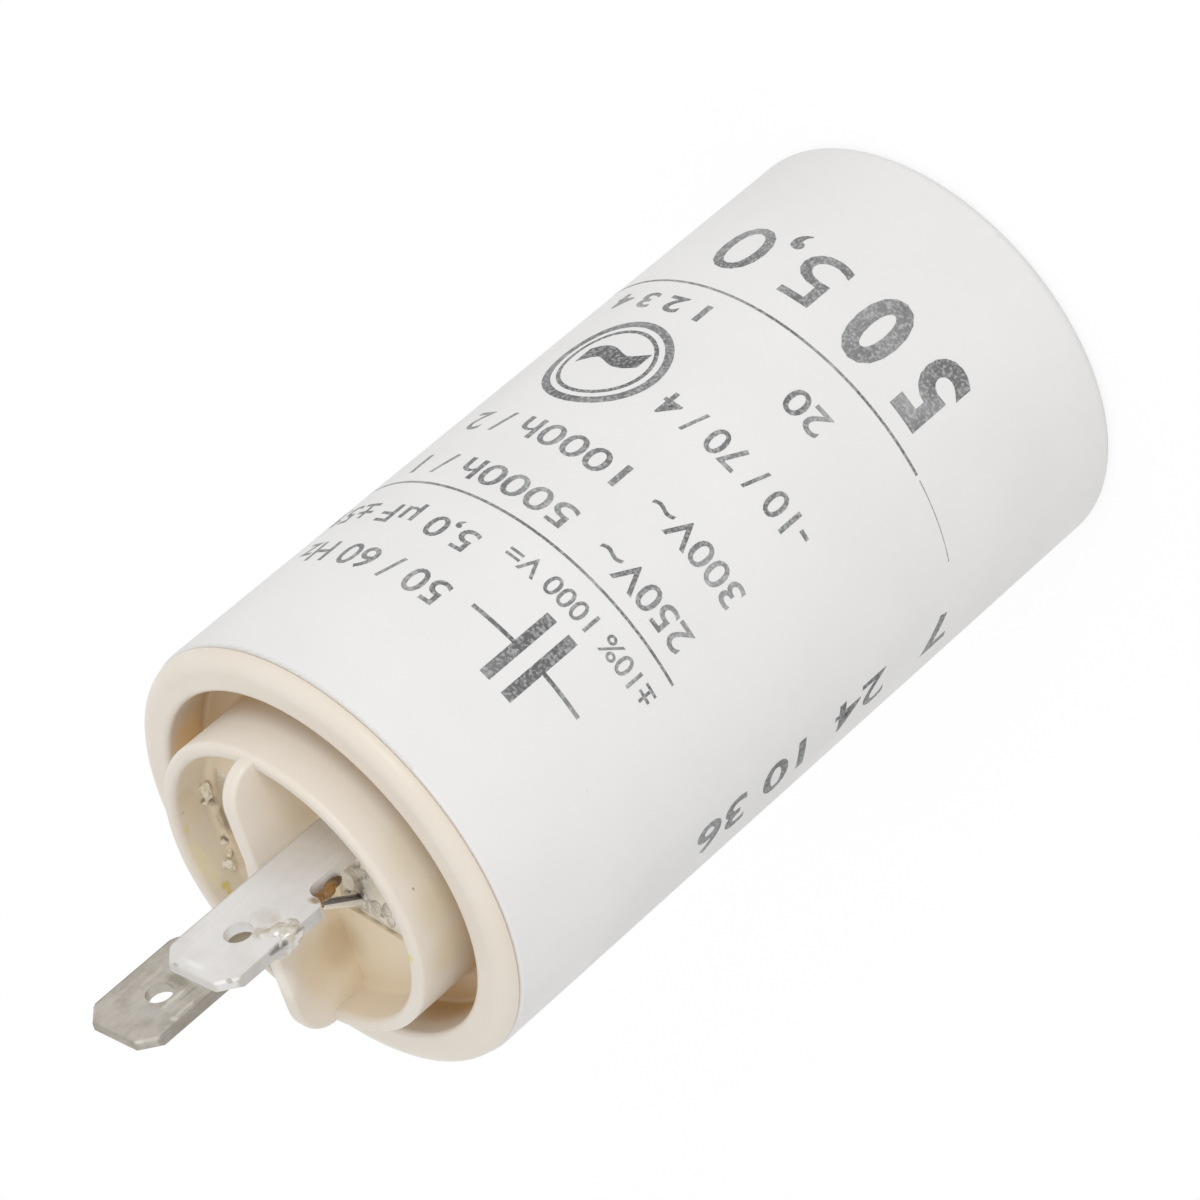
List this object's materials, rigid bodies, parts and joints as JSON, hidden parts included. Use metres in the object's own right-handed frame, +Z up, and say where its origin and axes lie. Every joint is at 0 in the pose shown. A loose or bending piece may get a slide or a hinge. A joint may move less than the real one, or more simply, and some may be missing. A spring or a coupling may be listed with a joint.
{
  "type": "suppression capacitor",
  "caption": "Film capacitor in a round white plastic case with a cream ringed lid, a bent divider between two blade terminals, soldered leads and resin wells.",
  "frame": {"origin": "centre of the base of the case", "axes": "+Z up the axis of the case from the base to the terminals; terminal A is on the -Y side and terminal B on the +Y side"},
  "size_m": [0.032, 0.032, 0.0748],
  "materials": {
    "case_plastic": "satin white moulding",
    "lid_plastic": "satin cream moulding",
    "tinned_brass": "tinned, silver grey",
    "solder": "bright solder",
    "tinned_wire": "tinned copper wire, bright",
    "sleeve_plastic": "fibreglass and varnish sleeve",
    "film": "metallised film, silvery",
    "core_plastic": "natural plastic tube",
    "wrap_film": "clear film, several turns",
    "sprayed_zinc": "rough sprayed zinc",
    "resin": "cast resin, yellowish"
  },
  "bodies": {
    "root": {"case": "case_plastic", "lid": "lid_plastic", "tab_a": "tinned_brass", "tab_b": "tinned_brass", "solder_a": "solder", "solder_b": "solder", "lead_a": "tinned_wire", "lead_b": "tinned_wire", "lead_sleeve": "sleeve_plastic", "film_winding": "film", "winding_core": "core_plastic", "film_wrap": "wrap_film", "end_contact_top": "sprayed_zinc", "end_contact_bottom": "sprayed_zinc", "potting_resin": "resin"}
  },
  "joints": []
}
